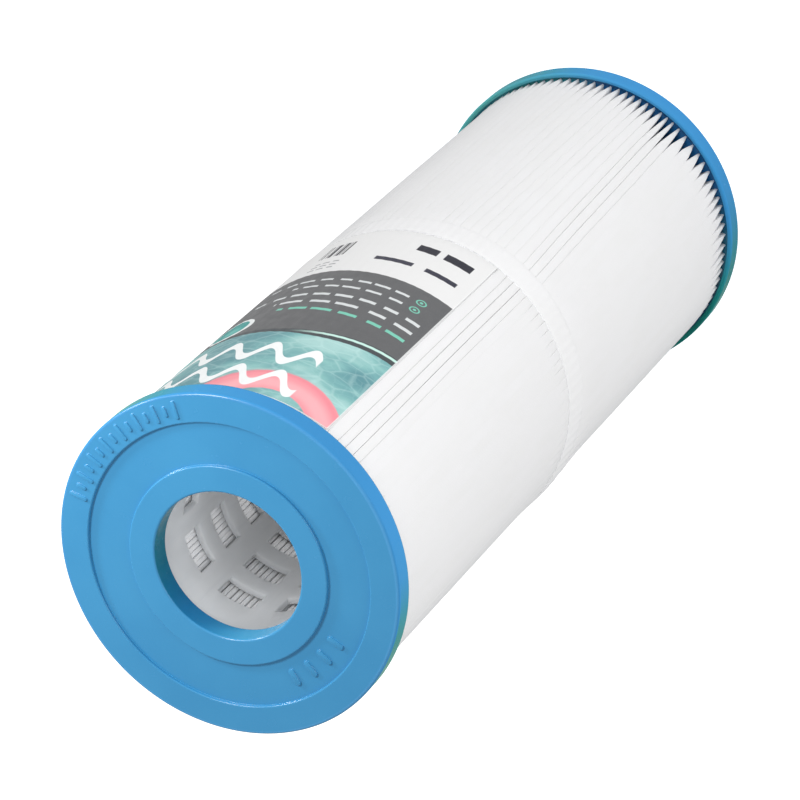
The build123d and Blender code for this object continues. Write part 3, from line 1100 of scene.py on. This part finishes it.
def casting(name, top, seed, segments=288):
    """A cap as a hand-poured casting: the wall is a hair out of round and the potting inside
    isn't level."""
    profile = np.array(with_floor_rings(rounded(CAP_OUTLINE)))
    r, z = profile[:, 0], profile[:, 1]
    angle = np.linspace(0, 2 * np.pi, segments, endpoint=False)[:, None]
    start = np.random.default_rng(seed).uniform(0, 2 * np.pi, 12)
    wall = np.clip((r - 61.0) / 1.5, 0, 1)
    out_of_round = 0.05 * np.sin(2 * angle + start[0]) + 0.03 * np.sin(5 * angle + start[1])
    r = r + wall * out_of_round
    potting = (np.abs(z - FLOOR) < 0.02) & (r < 60.0) & (r > 29.0)
    wave = 0.10 * np.sin(7 * angle + start[2] + r * 0.3)
    wave = wave + 0.07 * np.sin(17 * angle + start[3] - r * 0.5)
    wave = wave + 0.05 * np.sin(41 * angle + start[4])
    z = np.where(potting, z + wave, z)
    rim = np.clip((z - 7.0) / 1.4, 0, 1) * np.clip((r - 60.0) / 1.0, 0, 1)
    z = z + rim * (0.07 * np.sin(3 * angle + start[5]) + 0.04 * np.sin(13 * angle + start[6]))
    if top:
        z = HEIGHT - z
    verts = np.stack([r * np.cos(angle), r * np.sin(angle), z], -1).reshape(-1, 3)
    return outward(make(name, verts, skin(segments, len(profile), closed=True)))


# levels of a raised bar: growth of its outline and height above the face, less the bar's own
# height in the second part, which is counted from the crown
BAR_FOOT = ((0.22, -0.25), (0.22, 0.0), (0.06, 0.05), (0.0, 0.16))
BAR_CROWN = ((-0.02, -0.16), (-0.10, -0.05), (-0.26, 0.0))


def raised_bars(items, top, base_z, height, arc_points=10):
    """Round-ended bars on a cap's outer face: (azimuth, radius, length along the radius,
    width)."""
    levels = BAR_FOOT + tuple((growth, height + rise) for growth, rise in BAR_CROWN)
    verts, faces = [], []
    for azimuth, radius, length, width in items:
        out, along = directions(math.radians(azimuth))
        half, end_r = (length - width) / 2, width / 2
        quarter = np.pi / 2
        outline = [
            (sign * half + end_r * math.cos(t), end_r * math.sin(t))
            for sign, first in ((1, -quarter), (-1, quarter))
            for t in np.linspace(first, first + np.pi, arc_points)
        ]
        faces += skin(len(levels), len(outline), start=len(verts), flip=True)
        for growth, rise in levels:
            z = base_z - rise
            for x, y in outline:
                at_end = abs(x) > half
                centre = half if x > 0 else -half
                away = math.hypot(x - centre, y) if at_end else abs(y)
                scale = (away + growth) / away if away > 0 else 1
                if at_end:
                    x = centre + (x - centre) * scale
                point = (radius + x) * out + y * scale * along
                verts.append((point[0], point[1], HEIGHT - z if top else z))
    return verts, faces


def join_solids(obj, solids):
    """The object made anew with loose solids added to its mesh."""
    mesh, name = obj.data, obj.name
    flat = np.empty(len(mesh.vertices) * 3)
    mesh.vertices.foreach_get("co", flat)
    verts = [tuple(v) for v in flat.reshape(-1, 3) * 1000]
    faces = [tuple(p.vertices) for p in mesh.polygons]
    for more_verts, more_faces in solids:
        faces += [tuple(i + len(verts) for i in face) for face in more_faces]
        verts += more_verts
    bpy.data.objects.remove(obj)
    bpy.data.meshes.remove(mesh)
    return outward(make(name, verts, faces, sharp=50))


# an arc of long and short bars on the upper cap's outer ring: a scale with no figures
RING_BARS = [
    (azimuth, 57.0, 3.8 if i % 2 else 6.6, 1.5)
    for i, azimuth in enumerate(np.linspace(-35.0, -91.0, 15))
]
RECESS_BARS = [(118.0 + (i - 1.5) * 9.6, (COLLAR_R + RING_R) / 2, 6.4, 2.2) for i in range(4)]

for name, part, top, seed in (
    ("top_cap_casting", "top_end_cap", True, 61),
    ("bottom_cap_casting", "bottom_end_cap", False, 67),
):
    solids = [raised_bars(RECESS_BARS, top, base_z=RECESS, height=0.6)]
    if top:
        solids.insert(0, raised_bars(RING_BARS, top, base_z=0.0, height=0.55))
    cap = join_solids(casting(name, top, seed), solids)
    dress(cap, MAT_CAP, part)


# ------------------------------------------------------------------ core
WINDOW_PITCH, WINDOW_HALF, WINDOW_ROWS = 19.9, 5.3, 15
TOP_WINDOW = HEIGHT - 29.6  # middle of the highest row
SECTOR, FIRST_WINDOW, WINDOW_HALF_ARC = 45, -173.5, 14  # degrees


def apply_modifiers(obj):
    graph = bpy.context.evaluated_depsgraph_get()
    mesh = bpy.data.meshes.new_from_object(
        obj.evaluated_get(graph), preserve_all_data_layers=True, depsgraph=graph
    )
    old = obj.data
    obj.modifiers.clear()
    obj.data = mesh
    bpy.data.meshes.remove(old)


def core():
    """A tube with rounded windows, as one closed wall."""
    columns = []  # azimuth, and whether a window lies between it and the next
    for k in range(8):
        middle = FIRST_WINDOW + SECTOR * k
        columns += [(middle - WINDOW_HALF_ARC + 4 * i, True) for i in range(7)]
        columns += [(middle + WINDOW_HALF_ARC + 4.25 * i, False) for i in range(4)]
    middles = [TOP_WINDOW - WINDOW_PITCH * i for i in range(WINDOW_ROWS)][::-1]
    heights = [CORE_SET, 9.0, 14.0, HEIGHT - 14.0, HEIGHT - 9.0, HEIGHT - CORE_SET]
    for middle in middles:
        heights += [middle + offset for offset in (-WINDOW_HALF, -1.8, 1.8, WINDOW_HALF)]
        if middle != middles[-1]:
            heights += [middle + WINDOW_HALF + 3.1, middle + WINDOW_HALF + 6.2]
    heights = sorted(set(round(z, 3) for z in heights))
    sills = {round(middle - WINDOW_HALF, 3) for middle in middles}
    heads = {round(middle + WINDOW_HALF, 3) for middle in middles}
    windowed = []  # whether windows lie above each height
    inside = False
    for z in heights[:-1]:
        inside = (inside or z in sills) and z not in heads
        windowed.append(inside)
    verts = []
    for azimuth, _ in columns:
        t = math.radians(azimuth)
        verts += [(CORE_RI * math.cos(t), CORE_RI * math.sin(t), z) for z in heights]
    rows = len(heights)
    faces = []
    for i, (_, window) in enumerate(columns):
        here, there = i * rows, (i + 1) % len(columns) * rows
        for r in range(rows - 1):
            if not (window and windowed[r]):
                faces.append((here + r, there + r, there + r + 1, here + r + 1))
    obj = make("core_sleeve", verts, faces)
    wall = obj.modifiers.new("wall", "SOLIDIFY")
    wall.thickness = (CORE_RO - CORE_RI) / 1000
    wall.offset = 1.0
    wall.use_even_offset = True
    bevel = obj.modifiers.new("edges", "BEVEL")
    bevel.width = 0.0006
    bevel.segments = 2
    bevel.limit_method = "ANGLE"
    bevel.angle_limit = math.radians(50)
    apply_modifiers(obj)
    obj.data.shade_smooth()
    obj.data.set_sharp_from_angle(angle=math.radians(60))
    dress(outward(obj), MAT_CORE, "core_tube")


core()

# ------------------------------------------------------------------ floor and camera
FLOOR_HALF, FLOOR_Z = 4000, -0.4
floor_corners = [
    (x * FLOOR_HALF, y * FLOOR_HALF, FLOOR_Z) for x, y in ((-1, -1), (1, -1), (1, 1), (-1, 1))
]
floor = make("floor", floor_corners, [(0, 1, 2, 3)])
floor.data.materials.append(floor_material())

scene = bpy.context.scene
lens = bpy.data.cameras.new("camera")
lens.sensor_width = 36.0
lens.lens = 180.726
lens.clip_start, lens.clip_end = 0.05, 20.0
camera = bpy.data.objects.new("camera", lens)
scene.collection.objects.link(camera)
# columns: the view's right, its up, and back towards the camera
VIEW = Matrix((
    (-0.866094, -0.141628, -0.479398),
    (0.302409, -0.912076, -0.276888),
    (-0.398032, -0.384785, 0.832773),
))
camera.matrix_world = Matrix.Translation((-0.697806, -0.402878, 1.405749)) @ VIEW.to_4x4()
scene.camera = camera
RIGHT, UP, BACK = (VIEW.col[i].copy() for i in range(3))


# ------------------------------------------------------------------ lights, metres and watts
def soft_disc(name, target, direction, distance, size, power, colour=(1, 1, 1)):
    """A soft disc aimed at a point of the object."""
    light = bpy.data.lights.new(name, "AREA")
    light.shape = "DISK"
    light.size = size
    light.energy = power
    light.color = colour
    obj = bpy.data.objects.new(name, light)
    scene.collection.objects.link(obj)
    obj.location = target + direction.normalized() * distance
    aim = target - (target + direction.normalized() * distance)
    obj.rotation_euler = aim.to_track_quat("-Z", "Y").to_euler()
    obj.visible_camera = False
    return obj


def only_for(lamp, *names):
    """Lets a lamp light the named objects alone."""
    group = bpy.data.collections.new("lit_by_" + lamp.name)
    for name in names:
        group.objects.link(bpy.data.objects[name])
    lamp.light_linking.receiver_collection = group


MIDDLE = Vector((0, 0, 0.169))
TOP_CAP = (Vector((0, 0, 0.335)), "top_cap_casting")
LOW_CAP = (Vector((0, 0, 0.006)), "bottom_cap_casting")
ALL_BUT_CAPS = (
    "pleat_pack", "mid_strap", "strap_glue", "media_seam_bead_melt", "label_film", "core_sleeve",
)
for off, power in ((-38.0, 14.3), (50.0, 14.0)):
    t = math.radians(CAM_AZ + off)
    direction = Vector((math.cos(t), math.sin(t), 1.0))
    lamp = soft_disc("front%+d" % off, MIDDLE, direction, distance=1.7, size=1.3, power=power)
    only_for(lamp, *ALL_BUT_CAPS, "floor")

WHITE = (1, 1, 1)
# name, cap, direction as shares of right, up and back, distance, size, power, colour
for name, (target, lit), (right, up, back), *rest in (
    ("key", TOP_CAP, (-0.80, 0.38, 0.74), 0.42, 0.12, 1.36, (1.0, 0.92, 0.90)),
    ("graze", TOP_CAP, (-0.90, 0.47, 0.075), 0.42, 0.07, 0.95, (1.0, 0.96, 0.96)),
    ("fill", TOP_CAP, (0.75, 0.10, 0.62), 0.60, 0.30, 0.80, WHITE),
    ("wall", TOP_CAP, (1.0, 0.35, 0.05), 0.60, 0.30, 1.0, WHITE),
    ("far", LOW_CAP, (-0.10, 0.45, 0.9), 0.90, 0.5, 4.1, WHITE),
    ("far_left", LOW_CAP, (-1.0, 0.35, 0.15), 0.60, 0.3, 1.1, WHITE),
    ("far_right", LOW_CAP, (1.0, -0.20, 0.25), 0.60, 0.3, 1.1, WHITE),
):
    only_for(soft_disc(name, target, right * RIGHT + up * UP + back * BACK, *rest), lit)

# small lamps up the bore: height, power on the core, power on the folds
for i, (z, core_power, fold_power) in enumerate((
    (0.06, 0.010, 0.022),
    (0.13, 0.008, 0.022),
    (0.20, 0.006, 0.018),
    (0.262, 0.0055, 0.018),
    (0.318, 0.010, 0.012),
)):
    for lit, power in (("core_sleeve", core_power), ("pleat_pack", fold_power)):
        light = bpy.data.lights.new("bore%d" % i, "POINT")
        light.energy, light.shadow_soft_size = power, 0.024
        lamp = bpy.data.objects.new("bore%d_%s" % (i, lit), light)
        scene.collection.objects.link(lamp)
        lamp.location = (0, 0, z)
        lamp.visible_camera = False
        only_for(lamp, lit)

# ------------------------------------------------------------------ world
world = bpy.data.worlds.new("studio")
world.use_nodes = True
tree = world.node_tree
background = tree.nodes["Background"]
background.inputs[0].default_value = (1.0, 1.0, 1.0, 1.0)
path, gain = tree.nodes.new("ShaderNodeLightPath"), tree.nodes.new("ShaderNodeMath")
gain.operation = "MULTIPLY_ADD"  # 0.5 as light, 1.0 where the camera sees past the floor
gain.inputs[1].default_value = gain.inputs[2].default_value = 0.5
tree.links.new(path.outputs["Is Camera Ray"], gain.inputs[0])
tree.links.new(gain.outputs[0], background.inputs[1])
scene.world = world
scene.view_settings.view_transform = "Standard"
scene.view_settings.look = "None"
